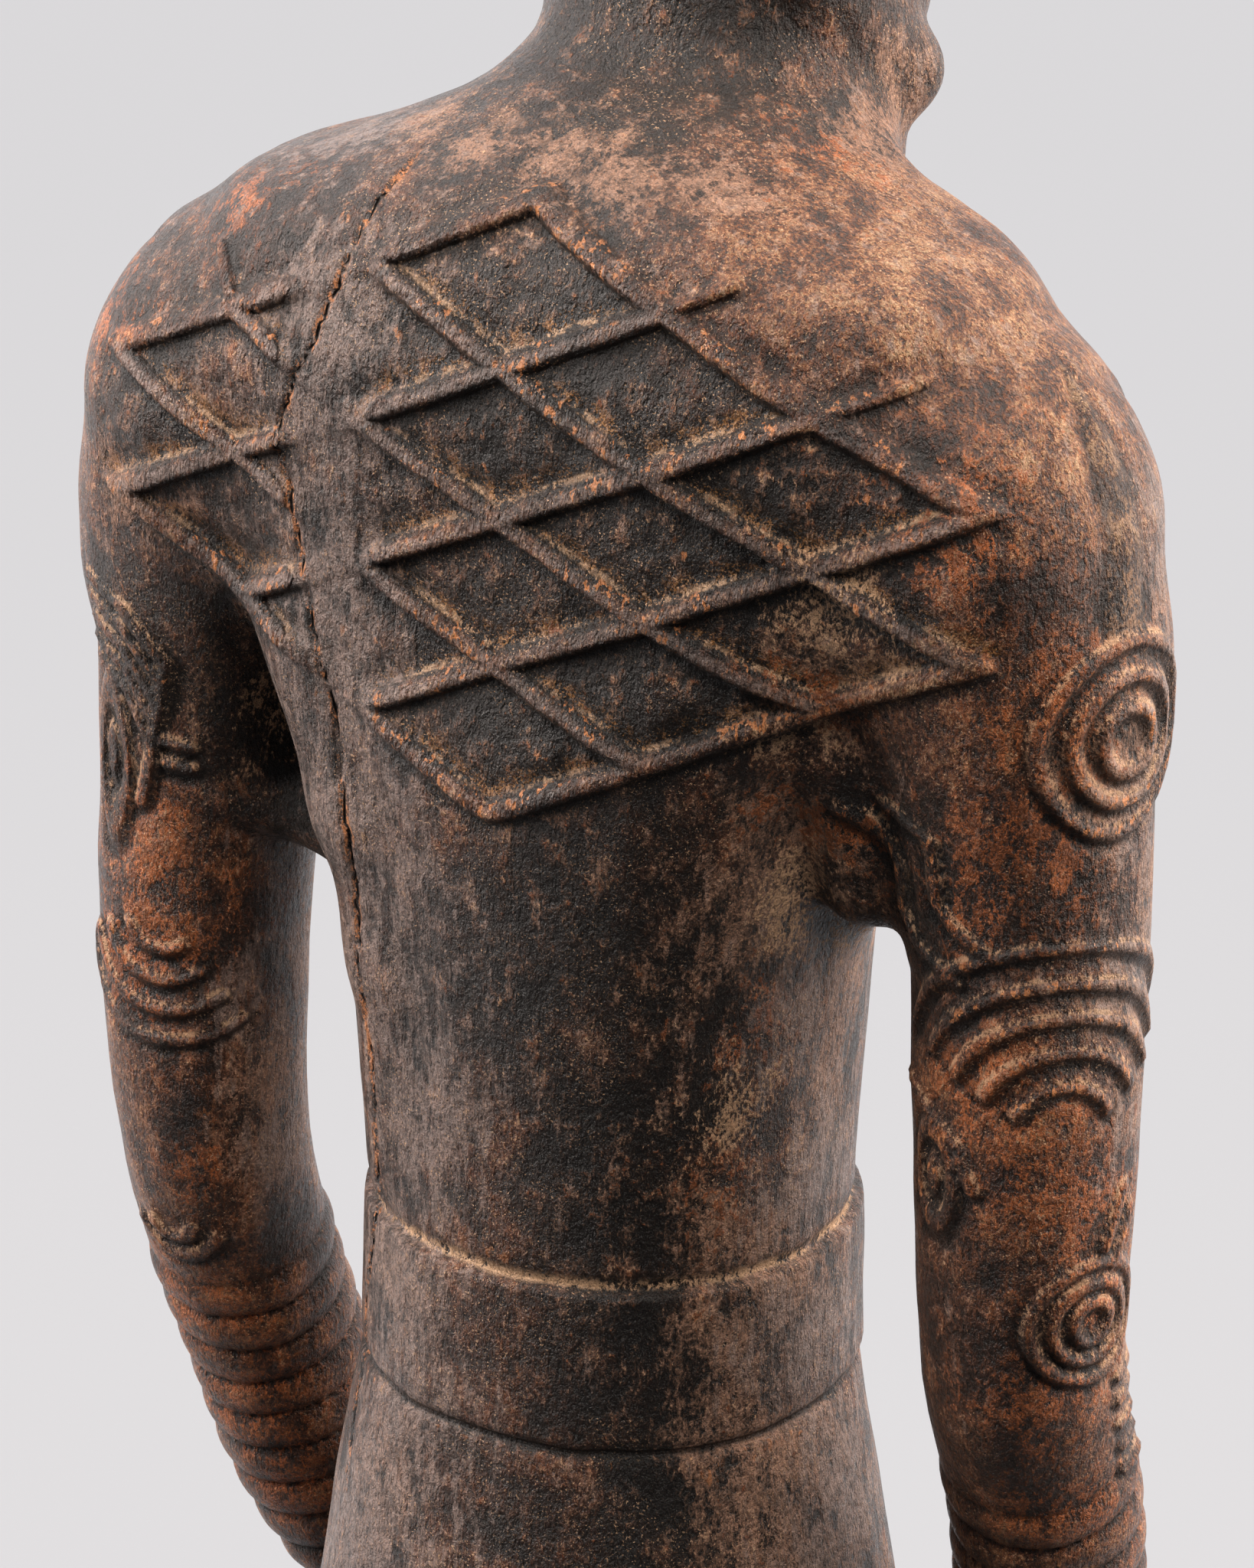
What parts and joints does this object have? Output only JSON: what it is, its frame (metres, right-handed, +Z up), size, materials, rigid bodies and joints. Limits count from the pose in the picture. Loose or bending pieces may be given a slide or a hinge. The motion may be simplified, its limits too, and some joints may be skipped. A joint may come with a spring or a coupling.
{
  "type": "carved wooden standing figure",
  "caption": "Dark carved wooden standing man in a belted waistcloth, with a raised lozenge net across the back, carved lines and armlets on the arms and a low oval base.",
  "frame": {"origin": "middle of the base's flat underside", "axes": "+Z up; the figure faces -Y, and its right arm is at -X"},
  "size_m": [0.2317, 0.196, 0.7227],
  "materials": {
    "wood": "satin, worn"
  },
  "bodies": {
    "root": {"figure": "wood"}
  },
  "joints": []
}
